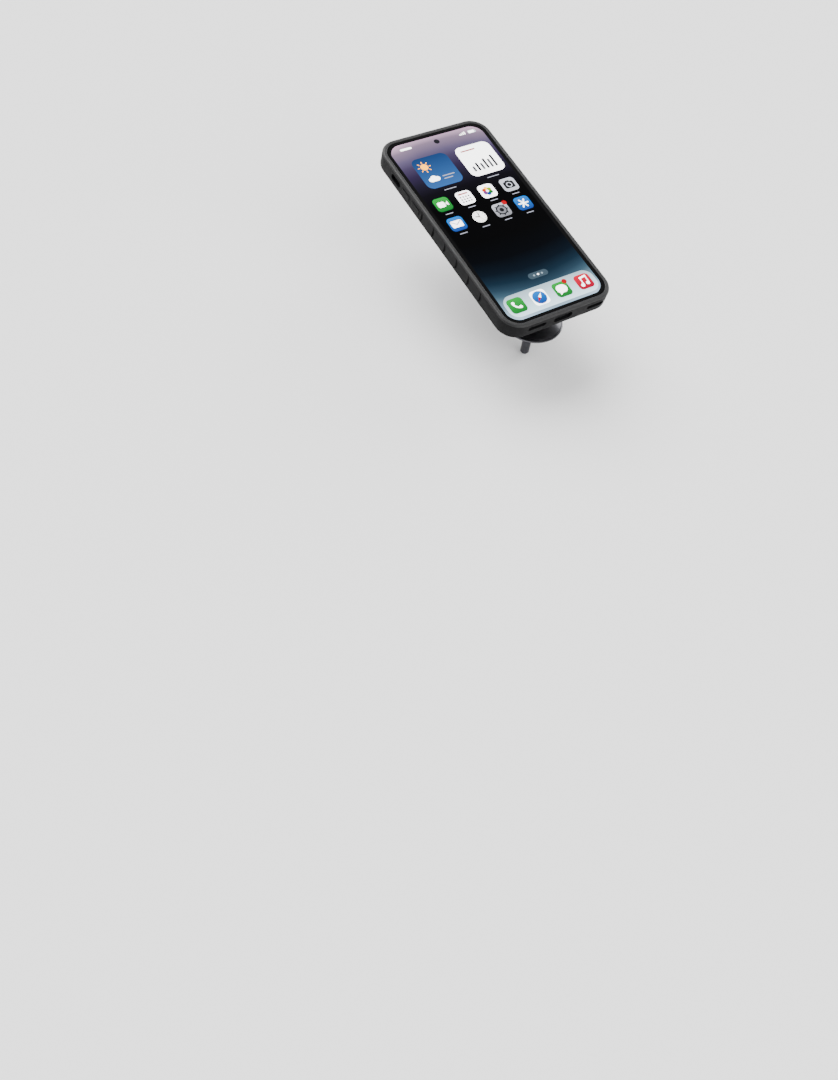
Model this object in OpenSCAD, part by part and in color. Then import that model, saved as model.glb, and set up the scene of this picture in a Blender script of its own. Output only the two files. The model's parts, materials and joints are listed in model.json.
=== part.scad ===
// Bicycle stem-cap phone mount: a hinged arm on the stem cap carries a quarter-turn
// head, and a protective phone case with a generic phone in it locks onto that head.
// Sizes are in millimetres. +Z runs up the steerer, +Y points forward, +X to the
// rider's right. The origin is the centre of the cap's seat on the stem.

/* [Phone] */
// Width of the phone
phone_w = 75.6; // [72:0.2:77]
// Length of the phone
phone_l = 158.6; // [150:0.2:162]
// Radius of the phone's corners seen from the front
phone_r = 9.9; // [9:0.1:11]
// Width of the black border round the lit screen
border_w = 2.1; // [1.6:0.1:3]
// Height of the camera island on the phone's back
island_h = 2; // [1.5:0.1:2.2]

/* [Case] */
// Thickness of the soft bumper outside the hard shell
bumper_t = 2; // [1.8:0.1:2.2]
// Height of the lip above the phone's glass
lip_h = 0.5; // [0.3:0.1:1]
// Depth of the crescent grip grooves
grip_d = 0.5; // [0.3:0.1:0.8]
// Number of grip grooves on each side
grip_count = 6; // [4:1:6]
// Distance between two grip grooves
grip_pitch = 14.1; // [12:0.1:14.5]

/* [Arm] */
// Angle between the arm and the level, front end up
arm_tilt = 8.5; // [0:0.5:30]
// Distance from the hinge to the middle of the phone
arm_l = 50.35; // [46:0.05:56]
// Thickness of the arm
arm_t = 5; // [4.6:0.1:5.4]

/* [Stem cap] */
// Radius of the cap's rim
cap_r = 20; // [19.5:0.1:21]
// Height of the dome's crown above the seat
cap_h = 5.5; // [5.5:0.1:6]
// Length of the stem bolt below the seat
bolt_l = 26; // [20:1:35]
// Radius of the spigot that enters the stem
spigot_r = 14.2; // [13.6:0.1:14.2]

/* [Hidden] */
$fn = 64;
eps = 0.01;

// Clearances
slide_gap = 0.15;
fit_gap = 0.05;

// Hinge axis on the cap
hinge_y = 9;
hinge_z = 13;
knuckle_r = 6;
knuckle_x = 7.6;
ear_in = 8.4;
ear_out = 12.4;
pivot_r = 2.5;

// Heights along the phone's normal, zero at the glass
glass_z = 21.6;
phone_back = -7.9;
lining_top = phone_back - 0.05;
lining_bot = lining_top - 0.8;
back_z = -10.8;
shell_top = -3;
lip_top = lip_h;

// Plan sizes of the case
cavity_w = phone_w + 2 * slide_gap;
cavity_l = phone_l + 2 * slide_gap;
cavity_r = phone_r + slide_gap;
shell_t = 1;
shell_w = cavity_w + 2 * shell_t;
shell_l = cavity_l + 2 * shell_t;
shell_r = cavity_r + shell_t;
case_w = shell_w + 2 * (fit_gap + bumper_t);
case_l = shell_l + 2 * (fit_gap + bumper_t);
case_r = shell_r + fit_gap + bumper_t;

// Quarter-turn head, heights above the hinge axis
pad_floor = 1.5;
pad_r = 18.5;
dish_r = 17.6;
collar_bot = 5.2;
collar_top = 7.45;
collar_r = 17.3;
ledge_bot = 7.5;
ledge_top = 8.15;
lug_bot = 8.4;
lug_top = 10.4;
lug_r = 12.5;
stem_r = 9.4;
key_r = 10.4;
pin_at = 15.1;
pin_r = 0.9;
head_screw_at = 5.2;
spring_at = 13.8;
case_z = glass_z + back_z;

// Button positions along the phone
vol_up_y = 41;
vol_down_y = 28.6;
side_y = 33;
mute_y = 54;
button_z = -4.6;
grip_y0 = 20.5;

// Camera window
cam_x = 15.5;
cam_y = 56.5;
cam_w = 39;
cam_l = 40;
cam_r = 9;

// Bottom openings
port_z = -4.4;
grille_z = -4.4;

// Sub-part to show, or "all" for the whole mount

// ---- shared helpers ----

// Frame of the arm: origin on the hinge axis, +Z square to the phone
module arm_frame() {
    translate([0, hinge_y, hinge_z])
        rotate([arm_tilt, 0, 0])
            children();
}

// Frame of the quarter-turn head: same heights as the arm, centred on the head
module head_frame() {
    arm_frame()
        translate([0, arm_l, 0])
            children();
}

// Frame of the phone: origin at the middle of the glass, +Y to the phone's top
module phone_frame() {
    head_frame()
        translate([0, 0, glass_z])
            children();
}

// Flat shape of a rectangle with round corners
module round_rect(w, l, r) {
    square([w - 2 * r, l], center = true);
    square([w, l - 2 * r], center = true);
    for (sx = [-1, 1])
        for (sy = [-1, 1])
            translate([sx * (w / 2 - r), sy * (l / 2 - r)])
                circle(r = r);
}

// Plate with round corners from height z0 to z1
module plate(w, l, r, z0, z1) {
    translate([0, 0, z0])
        linear_extrude(height = z1 - z0)
            round_rect(w, l, r);
}

// Carries a flat profile round a rectangle; the profile's x is measured from the
// centre of the corner arcs, whose outer radius is r
module around(w, l, r) {
    for (s = [0, 180])
        rotate([0, 0, s]) {
            translate([w / 2 - r, 0, 0])
                rotate([90, 0, 0])
                    linear_extrude(height = l - 2 * r, center = true)
                        children();
            translate([0, l / 2 - r, 0])
                rotate([90, 0, 90])
                    linear_extrude(height = w - 2 * r, center = true)
                        children();
            translate([w / 2 - r, l / 2 - r, 0])
                rotate_extrude(angle = 90)
                    children();
            translate([r - w / 2, l / 2 - r, 0])
                rotate([0, 0, 90])
                    rotate_extrude(angle = 90)
                        children();
        }
}

// Slot with round ends, length along Y, cut through along X
module side_slot(len, h, depth) {
    rotate([90, 0, 90])
        linear_extrude(height = depth, center = true)
            round_rect(len, h, h / 2 - eps);
}

// Slot with round ends, length along X, cut through along Y
module end_slot(len, h, depth) {
    rotate([90, 0, 0])
        linear_extrude(height = depth, center = true)
            round_rect(len, h, h / 2 - eps);
}

// Straight tube along Z
module tube(r_out, r_in, z0, z1) {
    translate([0, 0, z0])
        difference() {
            cylinder(r = r_out, h = z1 - z0);
            translate([0, 0, -1])
                cylinder(r = r_in, h = z1 - z0 + 2);
        }
}

// Hexagonal prism from its width across flats
module hexagon(flats, h) {
    cylinder(r = flats / sqrt(3), h = h, $fn = 6);
}

// ---- stem cap group ----

// Side view of one hinge ear
module ear_profile() {
    translate([hinge_y, hinge_z])
        circle(r = knuckle_r);
    polygon([[hinge_y - 8.6, 2], [hinge_y - 5.75, hinge_z - 1.7],
        [hinge_y + 5.75, hinge_z - 1.7], [hinge_y + 6.3, 2]]);
}

module stem_cap() {
    dome_drop = cap_h - 1.7;
    dome_r = (cap_r * cap_r + dome_drop * dome_drop) / (2 * dome_drop);
    color([0.03, 0.03, 0.032])
        difference() {
            union() {
                // Domed disc
                intersection() {
                    translate([0, 0, 0.8])
                        cylinder(r = cap_r, h = cap_h, $fn = 128);
                    translate([0, 0, cap_h - dome_r])
                        sphere(r = dome_r, $fn = 256);
                }
                // Spigot
                translate([0, 0, -2.5])
                    cylinder(r = spigot_r, h = 4);
                // Hinge ears, kept inside the rim
                intersection() {
                    for (sx = [-1, 1])
                        translate([sx * (ear_in + ear_out) / 2, 0, 0])
                            rotate([90, 0, 90])
                                linear_extrude(height = ear_out - ear_in, center = true)
                                    ear_profile();
                    cylinder(r = cap_r - 0.4, h = 30, $fn = 128);
                }
            }
            // Stem bolt bore and counterbore
            translate([0, 0, -3])
                cylinder(r = 3.2, h = 12);
            translate([0, 0, 2])
                cylinder(r = 6, h = 12);
            // Groove just inside the rim
            tube(cap_r - 0.9, cap_r - 1.3, 1.5, 4);
            // Pivot bore
            translate([0, hinge_y, hinge_z])
                rotate([0, 90, 0])
                    cylinder(r = pivot_r + fit_gap, h = 40, center = true);
            // Pocket for the pivot bolt's head
            translate([10.8, hinge_y, hinge_z])
                rotate([0, 90, 0])
                    cylinder(r = 4.35, h = 5);
            // Pocket for the nut
            translate([-15.6, hinge_y, hinge_z])
                rotate([0, 90, 0])
                    hexagon(8.2, 5);
        }
}

module cap_seal_ring() {
    color([0.05, 0.05, 0.05])
        tube(cap_r - 0.6, spigot_r + 0.15, 0, 0.8);
}

module stem_bolt() {
    color([0.62, 0.63, 0.64])
        difference() {
            union() {
                translate([0, 0, 3])
                    cylinder(r = 5, h = 2.9);
                translate([0, 0, 5.85])
                    cylinder(r1 = 5, r2 = 4.6, h = 0.4);
                translate([0, 0, -3.5])
                    cylinder(r = 2.6, h = 7);
                translate([0, 0, 1 - bolt_l])
                    cylinder(r = 3, h = bolt_l - 4.5);
                translate([0, 0, -bolt_l])
                    cylinder(r1 = 2.3, r2 = 3, h = 1);
            }
            translate([0, 0, 4])
                hexagon(4, 4);
        }
}

module stem_bolt_washer() {
    color([0.7, 0.71, 0.72])
        tube(5.6, 3.1, 2, 3);
}

module pivot_bolt() {
    color([0.62, 0.63, 0.64])
        translate([0, hinge_y, hinge_z])
            rotate([0, 90, 0])
                difference() {
                    union() {
                        translate([0, 0, -13.6])
                            cylinder(r = pivot_r, h = 25);
                        translate([0, 0, 10.8])
                            cylinder(r = 4.2, h = 2.2);
                        translate([0, 0, 12.95])
                            cylinder(r1 = 4.2, r2 = 3.8, h = 0.4);
                    }
                    translate([0, 0, 11.6])
                        hexagon(3, 3);
                }
}

module pivot_nut() {
    color([0.62, 0.63, 0.64])
        translate([-13.2, hinge_y, hinge_z])
            rotate([0, 90, 0])
                difference() {
                    hexagon(8, 2.6);
                    translate([0, 0, -1])
                        cylinder(r = pivot_r + 0.02, h = 5);
                }
}

module friction_washers() {
    color([0.75, 0.74, 0.7])
        translate([0, hinge_y, hinge_z])
            rotate([0, 90, 0])
                for (sx = [-1, 1])
                    translate([0, 0, sx * 8])
                        tube(5.6, pivot_r + fit_gap, -0.35, 0.35);
}

// ---- arm group ----

module tilt_arm() {
    color([0.09, 0.09, 0.095])
        arm_frame()
            difference() {
                union() {
                    rotate([0, 90, 0])
                        cylinder(r = knuckle_r - 0.1, h = 2 * knuckle_x, center = true);
                    translate([0, 0, -arm_t / 2])
                        linear_extrude(height = arm_t)
                            polygon([[-knuckle_x, 0], [knuckle_x, 0], [knuckle_x, 9],
                                [11.4, 22], [14.6, arm_l - 11], [-14.6, arm_l - 11],
                                [-11.4, 22], [-knuckle_x, 9]]);
                    translate([0, arm_l, -arm_t / 2])
                        cylinder(r = pad_r, h = arm_t);
                }
                // Dish that guides the spring
                translate([0, arm_l, pad_floor])
                    cylinder(r = dish_r, h = 5);
                // Pivot bore
                rotate([0, 90, 0])
                    cylinder(r = pivot_r + fit_gap, h = 30, center = true);
                // Tapped holes for the head's screws
                for (a = [90, 210, 330])
                    translate([head_screw_at * cos(a), arm_l + head_screw_at * sin(a), 0])
                        cylinder(r = 1.55, h = 20, center = true);
                // Pocket that lightens the underside
                translate([0, 21, -arm_t / 2])
                    linear_extrude(height = 3, center = true)
                        round_rect(9, 16, 4.4);
                // Groove round the underside of the pad
                translate([0, arm_l, 0])
                    tube(15.4, 14.6, -arm_t, -arm_t / 2 + 0.4);
            }
}

module twist_head() {
    color([0.35, 0.36, 0.38])
        head_frame()
            difference() {
                union() {
                    translate([0, 0, pad_floor])
                        cylinder(r = stem_r, h = lug_top - pad_floor);
                    // Two lugs
                    for (a = [0, 180])
                        rotate([0, 0, a - 22])
                            translate([0, 0, lug_bot])
                                rotate_extrude(angle = 44)
                                    translate([stem_r - 1, 0])
                                        square([lug_r - stem_r + 1, lug_top - lug_bot]);
                    // Two keys that guide the collar
                    for (a = [90, 270])
                        rotate([0, 0, a])
                            translate([stem_r - 1, -1.5, pad_floor])
                                cube([key_r - stem_r + 1, 3, 5.9]);
                }
                for (a = [90, 210, 330])
                    translate([head_screw_at * cos(a), head_screw_at * sin(a), 0]) {
                        cylinder(r = 1.55, h = 20);
                        translate([0, 0, lug_top - 1.6])
                            cylinder(r1 = 1.55, r2 = 3.15, h = 1.6 + eps);
                    }
            }
}

module head_screws() {
    color([0.62, 0.63, 0.64])
        head_frame()
            for (a = [90, 210, 330])
                translate([head_screw_at * cos(a), head_screw_at * sin(a), 0])
                    difference() {
                        union() {
                            translate([0, 0, -2])
                                cylinder(r = 1.5, h = 11.5);
                            translate([0, 0, lug_top - 1.6])
                                cylinder(r1 = 1.5, r2 = 3.05, h = 1.55);
                        }
                        translate([0, 0, lug_top - 1.2])
                            hexagon(2, 2);
                    }
}

// Coil springs under the collar: rings at an even pitch joined by short posts
module collar_springs() {
    wire = 0.3;
    coil = 1.7;
    turns = 4;
    pitch = (collar_bot - pad_floor - 2 * wire - 0.1) / (turns - 1);
    color([0.55, 0.56, 0.58])
        head_frame()
            for (s = [-1, 1])
                translate([s * spring_at, 0, pad_floor + wire + 0.05])
                    for (i = [0 : turns - 1]) {
                        translate([0, 0, i * pitch])
                            rotate_extrude($fn = 48)
                                translate([coil, 0])
                                    circle(r = wire, $fn = 24);
                        if (i < turns - 1)
                            rotate([0, 0, 90 + 180 * i])
                                translate([coil, 0, i * pitch])
                                    cylinder(r = wire * 0.8, h = pitch, $fn = 24);
                    }
}

// ---- release collar ----

module release_collar() {
    color([0.2, 0.21, 0.22])
        head_frame()
            difference() {
                union() {
                    translate([0, 0, collar_bot])
                        cylinder(r = collar_r, h = collar_top - collar_bot);
                    // Thumb tabs
                    for (s = [0, 180])
                        rotate([0, 0, s])
                            translate([0, 0, collar_bot])
                                linear_extrude(height = collar_top - collar_bot)
                                    translate([14, 0])
                                        round_rect(20, 17, 3);
                    // Stop pins
                    for (a = [90, 270])
                        translate([pin_at * cos(a), pin_at * sin(a), collar_top - 1])
                            cylinder(r = pin_r, h = 2.25);
                }
                translate([0, 0, collar_bot - 1])
                    cylinder(r = stem_r + 0.1, h = 10);
                for (a = [90, 270])
                    rotate([0, 0, a])
                        translate([5, -1.6, collar_bot - 1])
                            cube([key_r - 4.85, 3.2, 10]);
                // Grip grooves across the tabs
                for (s = [-1, 1])
                    for (i = [0 : 2])
                        translate([s * (19 + 1.6 * i), 0, collar_bot])
                            cube([0.7, 13, 0.8], center = true);
            }
}

// ---- case group ----

// Bottom openings shared by the shell and the bumper
module bottom_cuts() {
    translate([0, -case_l / 2, port_z])
        end_slot(14, 5, 12);
    translate([-19.5, -case_l / 2, grille_z])
        end_slot(13.5, 3, 12);
    translate([25, -case_l / 2, grille_z])
        end_slot(13, 3, 12);
}

module case_shell() {
    color([0.1, 0.1, 0.105])
        phone_frame()
            difference() {
                union() {
                    plate(shell_w, shell_l, shell_r, back_z, lining_bot);
                    difference() {
                        plate(shell_w, shell_l, shell_r, lining_bot - 0.5, shell_top);
                        plate(cavity_w, cavity_l, cavity_r, lining_bot - 1, shell_top + 1);
                    }
                }
                // Camera window
                translate([cam_x, cam_y, 0])
                    plate(cam_w, cam_l, cam_r, back_z - 1, lining_bot + 1);
                bottom_cuts();
                // Button and switch windows
                translate([-shell_w / 2, vol_up_y, button_z])
                    cube([4, 8, 3.2], center = true);
                translate([-shell_w / 2, vol_down_y, button_z])
                    cube([4, 8, 3.2], center = true);
                translate([shell_w / 2, side_y, button_z])
                    cube([4, 12, 3.2], center = true);
                translate([-shell_w / 2, mute_y, button_z])
                    side_slot(11, 4, 6);
                // Screw holes for the socket
                for (a = [45 : 90 : 315])
                    translate([19.3 * cos(a), 19.3 * sin(a), back_z - 1])
                        cylinder(r = 1, h = 2.8);
            }
}

// Section of the bumper, x measured from the centre of the corner arcs
module bumper_section() {
    x1 = case_r;
    x0 = case_r - bumper_t;
    xl = case_r - (case_w - cavity_w) / 2;
    difference() {
        union() {
            translate([x0, back_z + 1.9])
                square([bumper_t, lip_top - back_z - 2.9]);
            translate([x0, back_z])
                square([bumper_t - 1.9, 3]);
            translate([x1 - 1.9, back_z + 1.9])
                circle(r = 1.9);
            translate([xl, shell_top + fit_gap])
                square([x1 - xl - 1, lip_top - 0.5 - shell_top - fit_gap]);
            translate([xl + 0.5, lip_top - 1])
                square([x1 - xl - 1.5, 1]);
            translate([xl + 0.5, lip_top - 0.5])
                circle(r = 0.5);
            translate([x1 - 1, lip_top - 1])
                circle(r = 1);
        }
        // Keeps the inner face clear of the shell
        translate([x0 - 10, back_z - 1])
            square([10, shell_top + fit_gap - back_z + 1]);
    }
}

// Ring arc that makes one crescent groove on the left side
module crescent() {
    intersection() {
        rotate([0, 90, 0])
            tube(7.1, 6, -5, 5);
        translate([0, -6.5, 0])
            cube([12, 3.8, 8.4], center = true);
    }
}

// Window through the bumper wall for a button, with a pocket for its flange
module button_window(len) {
    cube([8, len + 0.2, 3.8], center = true);
}

module button_pocket(len) {
    cube([1.2, len + 1.6, 5.2], center = true);
}

module case_bumper() {
    color([0.13, 0.13, 0.135])
        phone_frame()
            difference() {
                around(case_w, case_l, case_r)
                    bumper_section();
                bottom_cuts();
                translate([-case_w / 2, mute_y, button_z])
                    side_slot(11, 4, 5.6);
                translate([-case_w / 2, vol_up_y, button_z])
                    button_window(9);
                translate([-case_w / 2, vol_down_y, button_z])
                    button_window(9);
                translate([case_w / 2, side_y, button_z])
                    button_window(13);
                translate([-case_w / 2 + 1.5, vol_up_y, button_z])
                    button_pocket(9);
                translate([-case_w / 2 + 1.5, vol_down_y, button_z])
                    button_pocket(9);
                translate([case_w / 2 - 1.5, side_y, button_z])
                    button_pocket(13);
                // Crescent grip grooves
                for (i = [0 : grip_count - 1])
                    for (s = [0, 1])
                        mirror([s, 0, 0])
                            translate([-case_w / 2 + grip_d - 5,
                                grip_y0 - grip_pitch * i + 6.5, -5])
                                crescent();
            }
}

module case_lining() {
    color([0.2, 0.2, 0.21])
        phone_frame()
            difference() {
                plate(cavity_w - 0.1, cavity_l - 0.1, cavity_r - 0.05, lining_bot, lining_top);
                translate([cam_x, cam_y, 0])
                    plate(cam_w, cam_l, cam_r, lining_bot - 1, lining_top + 1);
            }
}

module twist_socket() {
    color([0.06, 0.06, 0.065])
        head_frame()
            difference() {
                union() {
                    translate([0, 0, ledge_bot])
                        cylinder(r = 17.5, h = case_z - ledge_bot);
                    translate([0, 0, case_z - 1.2])
                        cylinder(r = 21.4, h = 1.2);
                }
                // Cavity the lugs turn in
                translate([0, 0, ledge_top])
                    cylinder(r = 12.8, h = 5);
                translate([0, 0, ledge_bot - 1])
                    cylinder(r = 9.8, h = 5);
                // Entries for the lugs
                for (a = [45, 225])
                    rotate([0, 0, a - 24])
                        translate([0, 0, ledge_bot - 1])
                            rotate_extrude(angle = 48)
                                translate([8, 0])
                                    square([lug_r - 7.8, 2]);
                // Quarter-turn grooves for the collar's stop pins
                for (a = [0, 180])
                    rotate([0, 0, a - 5])
                        translate([0, 0, ledge_bot - 1])
                            rotate_extrude(angle = 100)
                                translate([pin_at - 1.1, 0])
                                    square([2.2, 2.45]);
                // Screw holes
                for (a = [45 : 90 : 315])
                    translate([19.3 * cos(a), 19.3 * sin(a), case_z - 3])
                        cylinder(r = 1, h = 5);
            }
}

module socket_screws() {
    color([0.62, 0.63, 0.64])
        head_frame()
            for (a = [45 : 90 : 315])
                translate([19.3 * cos(a), 19.3 * sin(a), case_z - 1.7])
                    difference() {
                        union() {
                            cylinder(r = 1.6, h = 0.5);
                            cylinder(r = 0.95, h = 3.3);
                        }
                        translate([0, 0, -eps])
                            hexagon(1.1, 1);
                    }
}

module camera_guard() {
    color([0.13, 0.13, 0.135])
        phone_frame()
            translate([cam_x, cam_y, 0])
                difference() {
                    union() {
                        plate(cam_w + 3.4, cam_l + 3.4, cam_r + 1.7, back_z - 1.2, back_z - 0.6);
                        plate(cam_w + 4.2, cam_l + 4.2, cam_r + 2.1, back_z - 0.7, back_z);
                    }
                    plate(cam_w, cam_l, cam_r, back_z - 2, back_z + 1);
                }
}

// Case button: outer cap, flange behind the bumper, plunger through the shell.
// Modelled for the left side, outer face at -X.
module case_button(len) {
    x0 = -case_w / 2 - 0.35;
    translate([x0, -len / 2 + 0.1, button_z - 1.7])
        cube([1.6, len - 0.2, 3.4]);
    translate([x0 + 1.45, -len / 2 - 0.5, button_z - 2.3])
        cube([0.5, len + 1, 4.6]);
    translate([x0 + 1.9, -len / 2 + 0.8, button_z - 1.3])
        cube([-phone_w / 2 - 0.55 - x0 - 1.9, len - 1.6, 2.6]);
}

module volume_up_button() {
    color([0.16, 0.16, 0.165])
        phone_frame()
            translate([0, vol_up_y, 0])
                case_button(9);
}

module volume_down_button() {
    color([0.16, 0.16, 0.165])
        phone_frame()
            translate([0, vol_down_y, 0])
                case_button(9);
}

module side_button() {
    color([0.16, 0.16, 0.165])
        phone_frame()
            mirror([1, 0, 0])
                translate([0, side_y, 0])
                    case_button(13);
}

// ---- phone ----

// Section of the phone's side rail
module rail_section() {
    x1 = phone_r;
    z0 = phone_back + 0.6;
    z1 = -0.6;
    translate([x1 - 3, z0])
        square([3 - 1.6, z1 - z0]);
    translate([x1 - 3, z0 + 1.6])
        square([3, z1 - z0 - 3.2]);
    translate([x1 - 1.6, z0 + 1.6])
        circle(r = 1.6);
    translate([x1 - 1.6, z1 - 1.6])
        circle(r = 1.6);
}

module phone_body() {
    color([0.3, 0.31, 0.33])
        phone_frame()
            difference() {
                union() {
                    around(phone_w, phone_l, phone_r)
                        rail_section();
                    plate(phone_w - 5, phone_l - 5, phone_r - 2.5, phone_back + 0.6, -0.6);
                }
                // Cavity for the charging port
                translate([0, -phone_l / 2 + 3, port_z])
                    end_slot(9.3, 3.5, 8);
                // Speaker and microphone holes
                for (i = [0 : 4]) {
                    translate([-24.3 + 2.4 * i, -phone_l / 2, grille_z])
                        rotate([90, 0, 0])
                            cylinder(r = 0.65, h = 4, center = true, $fn = 24);
                    translate([20.2 + 2.4 * i, -phone_l / 2, grille_z])
                        rotate([90, 0, 0])
                            cylinder(r = 0.65, h = 4, center = true, $fn = 24);
                }
                // Recesses for the touch pads
                translate([-phone_w / 2, vol_up_y, button_z])
                    side_slot(9.1, 2.7, 1);
                translate([-phone_w / 2, vol_down_y, button_z])
                    side_slot(9.1, 2.7, 1);
                translate([phone_w / 2, side_y, button_z])
                    side_slot(13.1, 2.7, 1);
                // Slot for the mute switch
                translate([-phone_w / 2, mute_y, button_z])
                    cube([3, 6.2, 3.4], center = true);
            }
}

module phone_back_glass() {
    color([0.06, 0.07, 0.09])
        phone_frame()
            plate(phone_w - 3.4, phone_l - 3.4, phone_r - 1.7, phone_back, phone_back + 0.6);
}

module phone_cover_glass() {
    lit_w = phone_w - 0.3 - 2 * border_w;
    lit_l = phone_l - 0.3 - 2 * border_w;
    color([0.01, 0.01, 0.012])
        phone_frame()
            difference() {
                union() {
                    plate(phone_w - 1.6, phone_l - 1.6, phone_r - 0.8, -0.6, 0);
                    plate(phone_w - 0.3, phone_l - 0.3, phone_r - 0.15, -0.5, -0.1);
                }
                plate(lit_w, lit_l, phone_r - 0.95, -0.3, 1);
            }
}

module phone_display() {
    lit_w = phone_w - 0.3 - 2 * border_w;
    lit_l = phone_l - 0.3 - 2 * border_w;
    color([0.02, 0.03, 0.06])
        phone_frame()
            difference() {
                plate(lit_w - 0.02, lit_l - 0.02, phone_r - 0.96, -0.3, 0);
                translate([0, lit_l / 2 - 5.2, -1])
                    cylinder(r = 2.05, h = 2);
            }
}

module phone_front_camera() {
    lit_l = phone_l - 0.3 - 2 * border_w;
    color([0.02, 0.02, 0.05])
        phone_frame()
            translate([0, lit_l / 2 - 5.2, -0.3])
                cylinder(r = 2, h = 0.3);
}

module phone_camera_island() {
    color([0.07, 0.08, 0.1])
        phone_frame()
            translate([cam_x, cam_y, 0])
                difference() {
                    plate(36, 37, 8.5, phone_back - island_h, phone_back);
                    for (p = [[-8, 8.5], [-8, -8.5], [8.4, 0]])
                        translate([p[0], p[1], phone_back - island_h - 1])
                            cylinder(r = 7.1, h = 1.6);
                    for (sy = [-1, 1])
                        translate([9.6, sy * 11.6, phone_back - island_h - 1])
                            cylinder(r = 2.9, h = 1.6);
                }
}

module phone_camera_rings() {
    color([0.32, 0.33, 0.35])
        phone_frame()
            for (p = [[-8, 8.5], [-8, -8.5], [8.4, 0]])
                translate([cam_x + p[0], cam_y + p[1], 0])
                    difference() {
                        tube(7.05, 5.9, phone_back - island_h - 1.3, phone_back - island_h + 0.6);
                        translate([0, 0, phone_back - island_h - 1.31])
                            cylinder(r1 = 6.4, r2 = 5.9, h = 0.4);
                    }
}

module phone_camera_lenses() {
    color([0.02, 0.02, 0.03])
        phone_frame()
            for (p = [[-8, 8.5], [-8, -8.5], [8.4, 0]])
                translate([cam_x + p[0], cam_y + p[1], 0])
                    tube(5.85, 0.5, phone_back - island_h - 0.9, phone_back - island_h + 0.6);
}

module phone_flash() {
    color([0.8, 0.78, 0.7])
        phone_frame()
            for (sy = [-1, 1])
                translate([cam_x + 9.6, cam_y + sy * 11.6, phone_back - island_h])
                    cylinder(r = 2.85, h = 0.6);
}

module phone_touch_pads() {
    color([0.34, 0.35, 0.37])
        phone_frame() {
            translate([-phone_w / 2 + 0.25, vol_up_y, button_z])
                side_slot(9, 2.6, 0.5);
            translate([-phone_w / 2 + 0.25, vol_down_y, button_z])
                side_slot(9, 2.6, 0.5);
            translate([phone_w / 2 - 0.25, side_y, button_z])
                side_slot(13, 2.6, 0.5);
        }
}

module phone_port() {
    color([0.45, 0.46, 0.48])
        phone_frame()
            translate([0, -phone_l / 2 + 0.2, port_z]) {
                // Metal sleeve
                translate([0, 3.3, 0])
                    difference() {
                        end_slot(9.2, 3.4, 6.6);
                        translate([0, -1, 0])
                            end_slot(8.3, 2.5, 6.6);
                    }
                // Contact tongue
                translate([0, 3.6, 0])
                    cube([6.6, 5.6, 0.7], center = true);
            }
}

module phone_mute_switch() {
    color([0.34, 0.35, 0.37])
        phone_frame()
            translate([-phone_w / 2 + 0.8, mute_y, button_z + 0.6])
                difference() {
                    cube([1.2, 6, 2], center = true);
                    translate([-0.6, 0, 0])
                        cube([0.3, 5, 0.5], center = true);
                }
}

// ---- assembly ----

stem_cap();
cap_seal_ring();
stem_bolt();
stem_bolt_washer();
pivot_bolt();
pivot_nut();
friction_washers();
tilt_arm();
twist_head();
head_screws();
collar_springs();
release_collar();
case_shell();
case_bumper();
case_lining();
twist_socket();
socket_screws();
camera_guard();
volume_up_button();
volume_down_button();
side_button();
phone_body();
phone_back_glass();
phone_cover_glass();
phone_display();
phone_front_camera();
phone_camera_island();
phone_camera_rings();
phone_camera_lenses();
phone_flash();
phone_touch_pads();
phone_port();
phone_mute_switch();
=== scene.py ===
"""Bicycle stem-cap phone mount with a cased phone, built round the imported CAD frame.

Lengths in the script are in millimetres and are turned into metres as meshes are made.
"""
import json
import math

import bmesh
import bpy
from mathutils import Matrix, Vector


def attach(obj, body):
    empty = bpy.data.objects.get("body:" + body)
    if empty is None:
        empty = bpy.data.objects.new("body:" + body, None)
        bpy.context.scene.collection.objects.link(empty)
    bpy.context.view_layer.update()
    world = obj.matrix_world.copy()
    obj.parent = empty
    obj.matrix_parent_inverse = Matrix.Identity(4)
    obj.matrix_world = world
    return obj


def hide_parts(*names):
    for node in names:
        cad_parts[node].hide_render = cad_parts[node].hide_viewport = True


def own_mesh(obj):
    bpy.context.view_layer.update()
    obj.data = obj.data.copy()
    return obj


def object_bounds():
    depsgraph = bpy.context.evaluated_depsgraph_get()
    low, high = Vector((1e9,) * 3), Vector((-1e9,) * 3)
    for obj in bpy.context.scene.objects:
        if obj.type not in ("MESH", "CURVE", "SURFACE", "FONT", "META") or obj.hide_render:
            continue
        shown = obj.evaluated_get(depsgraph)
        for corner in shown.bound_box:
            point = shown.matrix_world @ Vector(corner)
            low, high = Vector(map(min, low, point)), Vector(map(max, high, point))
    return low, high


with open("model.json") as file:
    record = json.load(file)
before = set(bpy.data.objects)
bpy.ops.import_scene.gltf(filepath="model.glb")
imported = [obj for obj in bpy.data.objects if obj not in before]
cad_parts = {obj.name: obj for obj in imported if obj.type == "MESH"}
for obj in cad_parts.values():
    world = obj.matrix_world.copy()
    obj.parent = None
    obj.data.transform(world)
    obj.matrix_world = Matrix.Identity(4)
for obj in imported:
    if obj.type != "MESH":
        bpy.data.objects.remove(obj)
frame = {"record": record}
cad_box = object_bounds()

MM = 0.001

# ---- places taken from the frame ----------------------------------------------------

JOINTS = {j["name"]: j for j in frame["record"]["behaviour"]["joints"]}
NORMAL = Vector(JOINTS["case_twist"]["axis"]).normalized()
HEAD = Vector(JOINTS["case_twist"]["pos_m"])
RIGHT = Vector((1, 0, 0))
UP = NORMAL.cross(RIGHT)


def place(origin):
    """Matrix of a frame square to the phone: x to the right, y to its top, z out of the glass."""
    m = Matrix((RIGHT, UP, NORMAL)).transposed().to_4x4()
    m.translation = origin
    return m


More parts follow.
